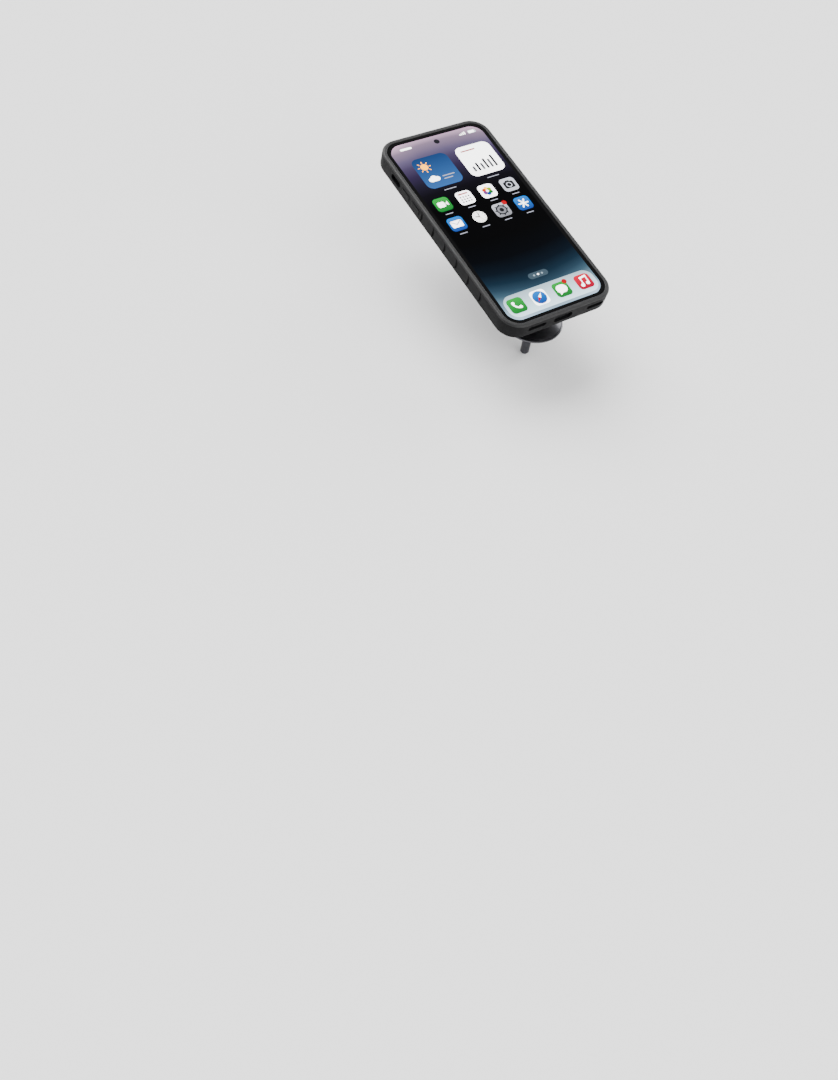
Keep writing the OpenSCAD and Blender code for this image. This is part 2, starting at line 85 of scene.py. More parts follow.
GLASS_H = 21.6      # glass above the head's origin, where the case turns
PHONE = place(HEAD + NORMAL * GLASS_H * MM)
SEAT = place(HEAD)

# ---- sizes of the case and the phone, as in the CAD ----------------------------------

PHONE_W, PHONE_L, PHONE_R, PHONE_BACK = 75.6, 158.6, 9.9, -7.9
CAVITY_W, CAVITY_L, CAVITY_R = PHONE_W + 0.3, PHONE_L + 0.3, PHONE_R + 0.15
SHELL_GAP, BUMPER_T, SHELL_T = 0.05, 2.0, 1.0
WALL = SHELL_T + SHELL_GAP + BUMPER_T
CASE_W, CASE_L, CASE_R = CAVITY_W + 2 * WALL, CAVITY_L + 2 * WALL, CAVITY_R + WALL
BACK_Z, LIP_Z, SHELL_TOP = -10.8, 0.5, -3.0
BUTTON_Z, GRILLE_Z = -4.6, -4.4
VOLUME_UP_Y, VOLUME_DOWN_Y, SIDE_Y, MUTE_Y = 41.0, 28.6, 33.0, 54.0
VOLUME_LENGTH, SIDE_LENGTH = 9, 13
# openings in the lower end (place, length, height) and the mute switch's slot
END_SLOTS = ((0, 14, 5), (-19.5, 13.5, 3), (25, 13, 3))
MUTE_SLOT = (11, 4)
BORDER = 2.1
LIT_W, LIT_L = PHONE_W - 0.3 - 2 * BORDER, PHONE_L - 0.3 - 2 * BORDER
LIT_R = PHONE_R - 0.95
FRONT_CAM_Y = LIT_L / 2 - 5.2
# rear cameras: centre of the island, its height and the lenses round that centre
CAM_X, CAM_Y, ISLAND_H = 15.5, 56.5, 2.0
LENSES = ((-8, 8.5), (-8, -8.5), (8.4, 0))
# crescent grip grooves: how many, the first one's place and the step to the next
GRIPS, GRIP_Y, GRIP_PITCH = 6, 20.5, 14.1
# depth of the screen's seat in the front glass, and the glass's thickness at its rim
SEAT_DEPTH, GLASS_T = 0.28, 0.6


# ---- mesh helpers ----------------------------------------------------------------------

def mesh_of(name, verts, faces, at):
    """Mesh from points in millimetres in the frame `at`."""
    mesh = bpy.data.meshes.new(name)
    mesh.from_pydata([at @ (Vector(v) * MM) for v in verts], [], faces)
    return mesh


def face_outwards(mesh):
    """Turns every face's normal out of its solid."""
    bm = bmesh.new()
    bm.from_mesh(mesh)
    bmesh.ops.recalc_face_normals(bm, faces=bm.faces)
    bm.to_mesh(mesh)
    bm.free()


def new_piece(name, verts, faces, at, material, body, replaces=(), sharp=35):
    """Mesh piece from points in millimetres in the frame `at`, riding on a CAD body."""
    mesh = mesh_of(name, verts, faces, at)
    mesh.validate()
    obj = bpy.data.objects.new(name, mesh)
    bpy.context.scene.collection.objects.link(obj)
    return finish_piece(obj, material, body, replaces, sharp)


def finish_piece(obj, material, body, replaces=(), sharp=35):
    """Cleans the normals, sets the material and ties the piece to its body."""
    face_outwards(obj.data)
    for p in obj.data.polygons:
        p.use_smooth = True
    obj.data.set_sharp_from_angle(angle=math.radians(sharp))
    obj.data.materials.clear()
    obj.data.materials.append(material)
    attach(obj, body)
    if replaces:
        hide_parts(*replaces)
    return obj


def arc(cx, cy, r, a0, a1, steps):
    """Points on an arc from angle a0 to a1 in degrees, ends included."""
    return [(cx + r * math.cos(math.radians(a0 + (a1 - a0) * i / steps)),
             cy + r * math.sin(math.radians(a0 + (a1 - a0) * i / steps)))
            for i in range(steps + 1)]


def circle(cx, cy, r, steps):
    """Points round a full circle, counter-clockwise."""
    return arc(cx, cy, r, 0, 360 - 360 / steps, steps - 1)


def outline(w, l, r, steps=20, cx=0.0, cy=0.0):
    """Rectangle with round corners, counter-clockwise."""
    points = []
    for sx, sy, a in ((1, 1, 0), (-1, 1, 90), (-1, -1, 180), (1, -1, 270)):
        points += arc(cx + sx * (w / 2 - r), cy + sy * (l / 2 - r), r, a, a + 90, steps)
    return points


def band_faces(i, j, n):
    """Quads between ring i and ring j, where every ring has n points."""
    return [(i * n + k, i * n + (k + 1) % n, j * n + (k + 1) % n, j * n + k)
            for k in range(n)]


def swept_ring(w, l, r, section, steps=28):
    """Closed section of (inset, height) points carried round a rounded rectangle."""
    verts = [(x, y, z) for u, z in section
             for x, y in outline(w - 2 * u, l - 2 * u, r - u, steps)]
    n = len(verts) // len(section)
    faces = []
    for i in range(len(section)):
        faces += band_faces(i, (i + 1) % len(section), n)
    return verts, faces


def prism(points, depth, axis):
    """Solid from an outline in the plane square to `axis`, centred on the plane."""
    def lift(p, d):
        return {"x": (d, p[0], p[1]), "y": (p[0], d, p[1]), "z": (p[0], p[1], d)}[axis]
    n = len(points)
    verts = [lift(p, -depth / 2) for p in points] + [lift(p, depth / 2) for p in points]
    faces = [tuple(range(n)), tuple(range(n, 2 * n))]
    faces += [(k, (k + 1) % n, n + (k + 1) % n, n + k) for k in range(n)]
    return verts, faces


def moved(solid, x=0.0, y=0.0, z=0.0, mirror=False):
    """The solid shifted, after an optional mirror from left to right."""
    verts, faces = solid
    sign = -1 if mirror else 1
    return [(sign * v[0] + x, v[1] + y, v[2] + z) for v in verts], faces


def joined(solids):
    """Several solids as one list of points and faces."""
    verts, faces = [], []
    for v, f in solids:
        faces += [tuple(i + len(verts) for i in face) for face in f]
        verts += v
    return verts, faces


def tube_along(path, radii, sides=14):
    """Round tube through points, with a radius at each, closed at both ends."""
    rings, verts, faces = [], [], []
    for i, p in enumerate(path):
        a = Vector(path[max(i - 1, 0)])
        b = Vector(path[min(i + 1, len(path) - 1)])
        t = (b - a).normalized()
        side = t.cross(Vector((0, 0, 1)) if abs(t.z) < 0.9 else Vector((1, 0, 0))).normalized()
        other = t.cross(side)
        turn = 2 * math.pi / sides
        rings.append([tuple(Vector(p) + radii[i] * (side * math.cos(turn * k)
                                                    + other * math.sin(turn * k)))
                      for k in range(sides)])
    for ring in rings:
        verts += ring
    for i in range(len(rings) - 1):
        faces += band_faces(i, i + 1, sides)
    faces.append(tuple(range(sides)))
    faces.append(tuple(range((len(rings) - 1) * sides, len(rings) * sides)))
    return verts, faces


def cut(obj, solids, at):
    """Takes the solids out of the piece with exact booleans."""
    for verts, faces in solids:
        mesh = mesh_of("cutter", verts, faces, at)
        face_outwards(mesh)
        tool = bpy.data.objects.new("cutter", mesh)
        bpy.context.scene.collection.objects.link(tool)
        mod = obj.modifiers.new("cut", "BOOLEAN")
        mod.operation = "DIFFERENCE"
        mod.solver = "EXACT"
        mod.object = tool
        dg = bpy.context.evaluated_depsgraph_get()
        made = bpy.data.meshes.new_from_object(obj.evaluated_get(dg))
        obj.modifiers.clear()
        old, obj.data = obj.data, made
        bpy.data.meshes.remove(old)
        bpy.data.objects.remove(tool)


def soften(obj, width):
    """Small round on every hard edge."""
    mod = obj.modifiers.new("edge_round", "BEVEL")
    mod.width = width * MM
    mod.segments = 2
    mod.limit_method = "ANGLE"
    mod.angle_limit = math.radians(28)
    mod.use_clamp_overlap = True
    # flat faces stay flat in the shading, up to the rounds
    even = obj.modifiers.new("even_normals", "WEIGHTED_NORMAL")
    even.mode = "FACE_AREA"
    even.weight = 100


def dress(node, material, width):
    """Material, smooth shading and rounded edges for a CAD node shown as it is."""
    obj = bpy.data.objects[node]
    for p in obj.data.polygons:
        p.use_smooth = True
    obj.data.materials.clear()
    obj.data.materials.append(material)
    weld = obj.modifiers.new("weld", "WELD")
    weld.merge_threshold = 1e-6
    flat = obj.modifiers.new("flat", "DECIMATE")
    flat.decimate_type = "DISSOLVE"
    flat.angle_limit = math.radians(0.4)
    soften(obj, width)


# ---- material helpers ------------------------------------------------------------------

def srgb(r, g, b):
    """Linear colour from 0-255 screen values."""
    def lin(c):
        c /= 255.0
        return c / 12.92 if c <= 0.04045 else ((c + 0.055) / 1.055) ** 2.4
    return (lin(r), lin(g), lin(b))


SCREEN_LIGHT = 5.0      # strength of the lit screen's white
NOISE_BAND = (0.3, 0.7)  # most of a noise texture's values lie in it


def lit(r, g, b):
    """Light given off by the lit screen, as a share of its white."""
    return tuple(c / SCREEN_LIGHT for c in (r, g, b))


class Nodes:
    """A material's node tree with short calls for what the materials share."""

    def __init__(self, name):
        self.material = bpy.data.materials.new(name)
        self.material.use_nodes = True
        self.tree = self.material.node_tree
        self.shader = self.tree.nodes["Principled BSDF"]
        self.where = self.add("ShaderNodeTexCoord").outputs["Object"]

    def add(self, kind, **values):
        node = self.tree.nodes.new(kind)
        for key, value in values.items():
            setattr(node, key, value)
        return node

    def link(self, a, b):
        self.tree.links.new(a, b)

    def set(self, **sockets):
        for key, value in sockets.items():
            self.shader.inputs[key.replace("_", " ")].default_value = value

    def noise(self, scale, detail=3.0, rough=0.5, stretch=(1, 1, 1)):
        mapping = self.add("ShaderNodeMapping")
        mapping.inputs["Scale"].default_value = stretch
        self.link(self.where, mapping.inputs["Vector"])
        node = self.add("ShaderNodeTexNoise")
        node.inputs["Scale"].default_value = scale
        node.inputs["Detail"].default_value = detail
        node.inputs["Roughness"].default_value = rough
        self.link(mapping.outputs[0], node.inputs["Vector"])
        return node.outputs["Fac"]

    def ramp(self, value, stops):
        node = self.add("ShaderNodeValToRGB")
        band = node.color_ramp
        while len(band.elements) > 1:
            band.elements.remove(band.elements[-1])
        band.elements[0].position = stops[0][0]
        band.elements[0].color = (*stops[0][1], 1)
        for at, colour in stops[1:]:
            band.elements.new(at).color = (*colour, 1)
        self.link(value, node.inputs["Fac"])
        return node.outputs["Color"]

    def spread(self, value, low, high):
        """The noise's usual band stretched to low-high, for a roughness."""
        node = self.add("ShaderNodeMapRange")
        for socket, limit in zip(("From Min", "From Max", "To Min", "To Max"),
                                 (*NOISE_BAND, low, high)):
            node.inputs[socket].default_value = limit
        self.link(value, node.inputs["Value"])
        return node.outputs[0]

    def math(self, operation, a, b=None):
        node = self.add("ShaderNodeMath", operation=operation)
        for i, v in enumerate((a, b)):
            if v is None:
                continue
            if isinstance(v, (int, float)):
                node.inputs[i].default_value = v
            else:
                self.link(v, node.inputs[i])
        return node.outputs[0]

    def bump(self, *layers):
        """Chained bumps, each (value, strength, distance in millimetres)."""
        last = None
        for value, strength, distance in layers:
            node = self.add("ShaderNodeBump")
            node.inputs["Strength"].default_value = strength
            node.inputs["Distance"].default_value = distance * MM
            self.link(value, node.inputs["Height"])
            if last is not None:
                self.link(last, node.inputs["Normal"])
            last = node.outputs[0]
        self.link(last, self.shader.inputs["Normal"])


def surface(name, dark, light, rough, metal=0.0, grain=3000.0, grain_depth=0.01,
            grain_strength=0.3, blotch=60.0, stretch=(1, 1, 1), **sockets):
    """Common finish: blotchy colour between two tones, uneven gloss and fine grain."""
    n = Nodes(name)
    patch = n.noise(blotch, 4.0, 0.6)
    n.link(n.ramp(patch, list(zip(NOISE_BAND, (dark, light)))), n.shader.inputs["Base Color"])
    smear = n.noise(blotch * 3, 5.0, 0.65)
    n.link(n.spread(smear, *rough), n.shader.inputs["Roughness"])
    fine = n.noise(grain, 2.0, 0.5, stretch)
    n.bump((fine, grain_strength, grain_depth), (patch, 0.05, 0.05))
    n.set(Metallic=metal, **sockets)
    return n.material


def elastomer(name, dark, light, rough=(0.5, 0.62), gloss=0.045):
    """Soft satin bumper: fine moulded grain with faint handling marks."""
    n = Nodes(name)
    patch = n.noise(45.0, 5.0, 0.6)
    n.link(n.ramp(patch, list(zip(NOISE_BAND, (dark, light)))), n.shader.inputs["Base Color"])
    smear = n.noise(180.0, 4.0, 0.6)
    n.link(n.spread(smear, *rough), n.shader.inputs["Roughness"])
    pores = n.add("ShaderNodeTexVoronoi")
    pores.inputs["Scale"].default_value = 2600.0
    n.link(n.where, pores.inputs["Vector"])
    n.bump((pores.outputs["Distance"], 0.18, 0.02), (n.noise(700.0, 3.0), 0.08, 0.03))
    n.set(Sheen_Weight=0.04, Sheen_Roughness=0.4, Specular_IOR_Level=gloss)
    return n.material


def woven(name, dark, light):
    """Short microfibre nap over a fine weave."""
    n = Nodes(name)
    waves = []
    for turn in (0.0, math.pi / 2):
        mapping = n.add("ShaderNodeMapping")
        mapping.inputs["Rotation"].default_value = (0, 0, turn)
        n.link(n.where, mapping.inputs["Vector"])
        wave = n.add("ShaderNodeTexWave")
        wave.inputs["Scale"].default_value = 420.0
        wave.inputs["Distortion"].default_value = 1.5
        n.link(mapping.outputs[0], wave.inputs["Vector"])
        waves.append(wave.outputs["Fac"])
    weave = n.math("MULTIPLY", waves[0], waves[1])
    nap = n.noise(2500.0, 4.0, 0.7)
    both = n.math("ADD", weave, nap)
    n.link(n.ramp(both, [(0.3, dark), (1.2, light)]), n.shader.inputs["Base Color"])
    n.bump((both, 0.6, 0.08))
    n.set(Roughness=0.95, Sheen_Weight=0.6)
    return n.material


# near-black glass in front of the lit picture, with little mirror in it
SCREEN_GLASS = {"Base_Color": (0.0008, 0.0008, 0.001, 1), "Emission_Strength": SCREEN_LIGHT,
                "Roughness": 0.06, "Specular_IOR_Level": 0.04}


def lit_picture(name):
    """Lit home screen behind glass; colours come from the mesh."""
    n = Nodes(name)
    colour = n.add("ShaderNodeVertexColor", layer_name="Col").outputs["Color"]
    n.link(colour, n.shader.inputs["Emission Color"])
    n.set(**SCREEN_GLASS)
    return n.material


def wallpaper(name):
    """Plain gradient: pale mauve at the top, black in the middle, steel blue below."""
    n = Nodes(name)
    split = n.add("ShaderNodeSeparateXYZ")
    n.link(n.add("ShaderNodeTexCoord").outputs["UV"], split.inputs[0])
    u, v = split.outputs[0], split.outputs[1]
    # the bands bow: the dark middle reaches further up and down at the centre
    swing = n.math("SUBTRACT", 0.045, n.math("MULTIPLY", v, 0.072))
    bow = n.math("MULTIPLY", n.math("SINE", n.math("MULTIPLY", u, math.pi)), swing)
    height = n.math("ADD", v, bow)
    soft = n.add("ShaderNodeTexNoise")
    soft.inputs["Scale"].default_value = 3.0
    n.link(n.add("ShaderNodeTexCoord").outputs["UV"], soft.inputs["Vector"])
    ripple = n.math("MULTIPLY", n.math("SUBTRACT", soft.outputs["Fac"], 0.5), 0.02)
    height = n.math("ADD", height, ripple)
    stops = [(0.0, lit(1.07, 1.4, 1.76)), (0.07, lit(0.36, 0.57, 0.73)),
             (0.134, lit(0.075, 0.16, 0.23)), (0.165, lit(0.032, 0.079, 0.127)),
             (0.2, lit(0.0105, 0.034, 0.063)), (0.25, lit(0.003, 0.01, 0.021)),
             (0.32, lit(0.0005, 0.0015, 0.0035)), (0.42, lit(0, 0, 0)), (0.62, lit(0, 0, 0)),
             (0.7, lit(0.006, 0.005, 0.01)), (0.76, lit(0.021, 0.017, 0.04)),
             (0.81, lit(0.046, 0.03, 0.09)), (0.86, lit(0.1, 0.074, 0.165)),
             (0.9, lit(0.2, 0.16, 0.3)), (0.95, lit(0.43, 0.31, 0.46)),
             (1.0, lit(1.45, 0.92, 1.3))]
    n.link(n.ramp(height, stops), n.shader.inputs["Emission Color"])
    n.set(**SCREEN_GLASS)
    return n.material


BUMPER = elastomer("bumper_elastomer", srgb(17, 17, 18), srgb(23, 23, 24))
# lip: the bumper's elastomer, smoother and glossier; its lighter colour is a painted highlight of
# the light from above
LIP_PAINTED_HIGHLIGHT = elastomer("lip_elastomer_painted_highlight", srgb(25, 25, 26), srgb(32, 32, 33), (0.4, 0.54), 0.32)
BUTTON = elastomer("button_elastomer", srgb(19, 19, 20), srgb(25, 25, 26))
SHELL = surface("shell_plastic", srgb(24, 24, 25), srgb(29, 29, 30), (0.5, 0.57),
                grain=1800.0, grain_depth=0.03, grain_strength=0.4)
SOCKET = surface("socket_nylon", srgb(22, 22, 23), srgb(29, 29, 30), (0.32, 0.48),
                 grain=1500.0, grain_depth=0.02)
LINING = woven("microfibre", srgb(60, 60, 62), srgb(96, 96, 98))
CAP = surface("cap_satin_black", srgb(70, 70, 74), srgb(80, 80, 84), (0.3, 0.36),
              metal=1.0, grain=900.0, grain_depth=0.004, grain_strength=0.15,
              Coat_Weight=0.5, Coat_Roughness=0.15)
SEAL = surface("seal_rubber", srgb(22, 22, 22), srgb(30, 30, 30), (0.7, 0.85))
ARM = surface("arm_anodised", srgb(42, 42, 44), srgb(50, 50, 52), (0.44, 0.51), metal=0.85,
              grain=2600.0, grain_depth=0.02, grain_strength=0.5)
HEAD_METAL = surface("head_anodised", srgb(94, 96, 100), srgb(108, 110, 114), (0.31, 0.37),
                     metal=1.0, grain=2200.0, grain_depth=0.01)
COLLAR = surface("collar_anodised", srgb(68, 70, 74), srgb(78, 80, 84), (0.33, 0.4),
                 metal=1.0, grain=2200.0, grain_depth=0.01)
STEEL = surface("bolt_steel", srgb(150, 152, 156), srgb(178, 180, 184), (0.22, 0.36),
                metal=1.0, grain=1400.0, grain_depth=0.008, stretch=(1, 1, 0.15))
DARK_STEEL = surface("bolt_black_oxide", srgb(62, 62, 66), srgb(84, 84, 88), (0.3, 0.42),
                     metal=1.0, grain=1400.0, grain_depth=0.008, stretch=(1, 1, 0.15))
SPRING = surface("spring_steel", srgb(128, 130, 134), srgb(150, 152, 156), (0.25, 0.35),
                 metal=1.0)
POLYMER = surface("washer_polymer", srgb(178, 174, 160), srgb(200, 196, 184), (0.5, 0.65))
RAIL = surface("rail_anodised", srgb(84, 86, 92), srgb(98, 100, 106), (0.3, 0.4), metal=1.0,
               grain=3000.0, grain_depth=0.008)
BACK_GLASS = surface("frosted_back", srgb(38, 42, 52), srgb(44, 48, 58), (0.38, 0.46),
                     grain=5000.0, grain_depth=0.004)
FRONT_GLASS = surface("front_glass", srgb(2, 2, 3), srgb(4, 4, 5), (0.03, 0.07),
                      grain=60.0, grain_depth=0.001, grain_strength=0.05,
                      Specular_IOR_Level=0.15)
LENS = surface("lens_glass", srgb(4, 5, 12), srgb(12, 10, 24), (0.02, 0.05),
               grain=60.0, grain_depth=0.001, grain_strength=0.05,
               Coat_Weight=0.25, Coat_Roughness=0.02, Specular_IOR_Level=0.25)
LENS_RING = surface("lens_ring", srgb(96, 98, 104), srgb(116, 118, 124), (0.25, 0.35),
                    metal=1.0)
FLASH = surface("flash_diffuser", srgb(214, 206, 180), srgb(238, 232, 214), (0.25, 0.4),
                grain=900.0, grain_depth=0.05)
PORT = surface("port_steel", srgb(120, 122, 126), srgb(140, 142, 146), (0.3, 0.4), metal=1.0)
SCREEN = lit_picture("lit_tiles")
PAPER = wallpaper("lit_wallpaper")


# ---- the case's bumper -------------------------------------------------------------------

def bumper_section():
    """Section of the bumper as (inset from the outer face, height), bottom first."""
    low, high, inner = 1.9, 1.5, 0.5
    points = arc(low, BACK_Z + low, low, 270, 180, 14)
    points += arc(high, LIP_Z - high, high, 180, 90, 12)
    points += arc(WALL - inner, LIP_Z - inner, inner, 90, 0, 8)
    shelf = SHELL_TOP + SHELL_GAP
    points += [(WALL, shelf + 0.15), (WALL - 0.15, shelf), (BUMPER_T, shelf),
               (BUMPER_T, BACK_Z + 0.15), (BUMPER_T - 0.1, BACK_Z)]
    return points


def slot_outline(length, height, steps=12):
    """Slot with round ends, centred."""
    return outline(length, height, height / 2 - 0.001, steps)


def grip_cutter(y):
    """Crescent that bulges towards the phone's bottom and thins out at both ends."""
    radius, half, steps = 6.2, 40, 24
    path, radii = [], []
    for i in range(steps + 1):
        t = -1 + 2 * i / steps
        a = math.radians(270 + half * t)
        path.append((-CASE_W / 2 - 0.05, y + radius + radius * math.sin(a),
                     -4.9 + radius * math.cos(a)))
        radii.append(0.12 + 0.85 * math.cos(t * math.pi / 2))
    return tube_along(path, radii)


def build_bumper():
    verts, faces = swept_ring(CASE_W, CASE_L, CASE_R, bumper_section())
    obj = new_piece("bumper", verts, faces, PHONE, BUMPER, "case",
                    ["case_bumper"])
    end, side = -CASE_L / 2, CASE_W / 2
    cuts = [moved(prism(slot_outline(length, height), 12, "y"), x, end, GRILLE_Z)
            for x, length, height in END_SLOTS]
    cuts.append(moved(prism(slot_outline(*MUTE_SLOT), 5.6, "x"), -side, MUTE_Y, BUTTON_Z))
    for x, y, length in ((-side, VOLUME_UP_Y, VOLUME_LENGTH),
                         (-side, VOLUME_DOWN_Y, VOLUME_LENGTH), (side, SIDE_Y, SIDE_LENGTH)):
        window = prism(outline(length + 0.2, 3.8, 0.5, 6), 8, "x")
        pocket = prism(outline(length + 1.6, 5.2, 0.3, 4), 1.2, "x")
        cuts.append(moved(window, x, y, BUTTON_Z))
        cuts.append(moved(pocket, x - math.copysign(1.5, x), y, BUTTON_Z))
    for i in range(GRIPS):
        groove = grip_cutter(GRIP_Y - GRIP_PITCH * i)
        cuts += [groove, moved(groove, mirror=True)]
    cut(obj, cuts, PHONE)
    finish_piece(obj, BUMPER, "case", ["case_bumper"], 30)
    # the rounded lip is smoother than the grained sides, and its lighter colour is a painted
    # highlight of the light from above
    obj.data.materials.append(LIP_PAINTED_HIGHLIGHT)
    into_phone = PHONE.inverted()
    # faces near the top of the lip take the lighter material: a painted highlight on the upward
    # faces
    for face in obj.data.polygons:
        if (into_phone @ face.center).z > (LIP_Z - 1.2) * MM:
            face.material_index = 1
    return obj


# ---- the phone's face ----------------------------------------------------------------------

def build_glass():
    """Black front glass: a slab with a rounded rim and a shallow seat for the screen."""
    inner = 3.0
    section = [(inner, -GLASS_T), (0.8, -GLASS_T), (0.3, -0.5)]
    section += [(0.15 + 0.65 * (1 - math.sin(math.radians(a))),
                 -0.45 + 0.45 * math.sin(math.radians(a)) ** 0.8) for a in range(0, 91, 15)]
    rim = 0.15 + BORDER
    section += [(rim, 0.0), (rim, -SEAT_DEPTH), (inner, -SEAT_DEPTH)]
    verts, faces = swept_ring(PHONE_W, PHONE_L, PHONE_R, section)
    # floor that closes the seat, just under the ring's inner edge
    edge = inner - 0.05
    floor = outline(PHONE_W - 2 * edge, PHONE_L - 2 * edge, PHONE_R - edge, 28)
    base = len(verts)
    verts += [(x, y, -SEAT_DEPTH - 0.03) for x, y in floor]
    faces.append(tuple(range(base, base + len(floor))))
    return new_piece("front_glass", verts, faces, PHONE, FRONT_GLASS, "phone",
                     ["phone_cover_glass"], 50)


def build_wallpaper():
    """Lit panel with its picture laid out over its own width and length."""
    shape = outline(LIT_W - 0.02, LIT_L - 0.02, LIT_R, 28)
    verts = [(x, y, 0.0) for x, y in shape] + [(x, y, -SEAT_DEPTH) for x, y in shape]
    n = len(shape)
    faces = [tuple(range(n)), tuple(range(2 * n - 1, n - 1, -1))]
    faces += [(k, k + n, (k + 1) % n + n, (k + 1) % n) for k in range(n)]
    obj = new_piece("screen_panel", verts, faces, PHONE, PAPER, "phone",
                    ["phone_display"])
    uv = obj.data.uv_layers.new(name="UVMap")
    for loop in obj.data.loops:
        x, y, _ = verts[loop.vertex_index]
        uv.data[loop.index].uv = (x / LIT_W + 0.5, y / LIT_L + 0.5)
    return obj


class Picture:
    """Flat shapes of the home screen, each a hair above the one before it."""

    STEP = 0.012

    def __init__(self):
        self.verts, self.faces, self.colours = [], [], []
        self.centre, self.scale = (0.0, 0.0), 1.0

    def shape(self, level, points, top, bottom=None):
        bottom = bottom or top
        cx, cy = self.centre
        points = [(cx + self.scale * (x - cx), cy + self.scale * (y - cy)) for x, y in points]
        ys = [p[1] for p in points]
        low, span = min(ys), max(max(ys) - min(ys), 1e-6)
        base = len(self.verts)
        for x, y in points:
            t = (y - low) / span
            self.verts.append((x, y, self.STEP * (level + 1)))
            self.colours.append(tuple(b + (a - b) * t for a, b in zip(top, bottom)))
        self.faces.append(tuple(range(base, base + len(points))))

    def tile(self, x, y, w, h, r, top, bottom=None, level=0):
        self.shape(level, outline(w, h, r, 10, x, y), top, bottom)

    def disc(self, x, y, r, colour, level=1, bottom=None):
        self.shape(level, circle(x, y, r, 40), colour, bottom)

    def band(self, x, y, r, width, a0, a1, colour, level=1):
        """Arc of even width, as short flat links."""
        outer = arc(x, y, r + width / 2, a0, a1, 24)
        inner = arc(x, y, r - width / 2, a0, a1, 24)
        for k in range(24):
            self.shape(level, [outer[k], outer[k + 1], inner[k + 1], inner[k]], colour)

    def bar(self, x0, y0, x1, y1, width, colour, level=1):
        """Straight stroke with round ends."""
        a = math.degrees(math.atan2(y1 - y0, x1 - x0))
        points = arc(x1, y1, width / 2, a - 90, a + 90, 8)
        points += arc(x0, y0, width / 2, a + 90, a + 270, 8)
        self.shape(level, points, colour)

    def piece(self):
        obj = new_piece("home_screen", self.verts, self.faces, PHONE, SCREEN, "phone")
        layer = obj.data.color_attributes.new("Col", "FLOAT_COLOR", "POINT")
        for i, c in enumerate(self.colours):
            layer.data[i].color = (*c, 1)
        return obj


# light of the screen's colours, with the top and the foot of a shaded tile as a pair
WHITE, PALE, GREY = lit(5.0, 5.0, 5.0), lit(1.34, 1.4, 1.6), lit(0.16, 0.167, 0.19)
DARK, BLACK, RED = lit(0.022, 0.024, 0.028), lit(0, 0, 0), lit(0.92, 0, 0.015)
YELLOW, ORANGE, VIOLET = lit(4.6, 1.8, 0), lit(1.35, 0.083, 0), lit(0.35, 0.055, 0.46)
LEAF, CAPTION, CLOCK_FACE = lit(0.5, 0.89, 0), lit(0.83, 0.86, 1.04), lit(3.8, 3.8, 3.5)
DUSK = lit(0.019, 0.074, 0.255), lit(0.06, 0.21, 0.62)
GREEN = lit(0.02, 0.7, 0.08), lit(0.014, 0.3, 0.046)
SKY = lit(0, 0.37, 1.33), lit(0.021, 0.085, 0.5)
ROSE = lit(1.4, 0, 0.07), lit(0.7, 0, 0.047)
SILVER = lit(1.1, 1.15, 1.3), lit(0.42, 0.43, 0.48)
DOCK = lit(0.8, 1.05, 1.2), lit(1.7, 2.3, 2.6)
PILL, PILL_DOT = lit(0.093, 0.148, 0.195), lit(0.6, 0.8, 0.95)
# icons are drawn on a tile of this size and shrunk about its centre
ICON, ICON_R, ICON_SCALE = 12.2, 2.9, 0.925
COLUMNS = (-25.7, -8.6, 8.6, 25.7)
ROW_1, ROW_2, DOCK_Y = 21.5, 4.0, -66.4


def caption_bar(pic, x, y, width):
    """Plain bar where a label would be."""
    pic.bar(x - width / 2, y, x + width / 2, y, 0.6, CAPTION)


def badge(pic, x, y):
    pic.disc(x + ICON / 2 - 0.8, y + ICON / 2 - 0.8, 1.9, RED, 3)


def icon(pic, x, y, top, bottom=None):
    """Tile of an icon; what is drawn next is on it, until the picture is reset."""
    pic.centre, pic.scale = (x, y), ICON_SCALE
    pic.tile(x, y, ICON, ICON, ICON_R, top, bottom)


def weather_widget(pic):
    x, y, w, h = -13.6, 48.6, 27.0, 27.0
    pic.tile(x, y, w, h, 4.8, *DUSK)
    pic.disc(x - 6.6, y + 5.4, 2.7, YELLOW)
    for k in range(8):
        a = math.radians(45 * k)
        pic.bar(x - 6.6 + 3.6 * math.cos(a), y + 5.4 + 3.6 * math.sin(a),
                x - 6.6 + 4.6 * math.cos(a), y + 5.4 + 4.6 * math.sin(a), 0.6,
                YELLOW)
    for dx, dy, r in ((-8.0, -6.2, 1.7), (-5.6, -5.3, 2.3), (-3.2, -6.1, 1.8)):
        pic.disc(x + dx, y + dy, r, WHITE, 2)
    pic.bar(x - 8.0, y - 7.4, x - 3.2, y - 7.4, 1.3, WHITE, 2)
    for k, width in enumerate((8.5, 6.0)):
        pic.bar(x + 1.2, y - 5.4 - 2.4 * k, x + 1.2 + width, y - 5.4 - 2.4 * k, 0.8,
                CAPTION)


def chart_widget(pic):
    x, y, w, h = 19.6, 48.3, 26.6, 27.0
    pic.tile(x, y, w, h, 4.8, WHITE)
    pic.bar(x - 9.0, y + 9.4, x + 1.0, y + 9.4, 1.1, RED)
    for k, tall in enumerate((3.2, 5.6, 4.2, 7.4, 6.0, 8.8)):
        pic.bar(x - 8.4 + 3.3 * k, y - 8.6, x - 8.4 + 3.3 * k, y - 8.6 + tall, 1.7,
                DARK if k % 2 else GREY)


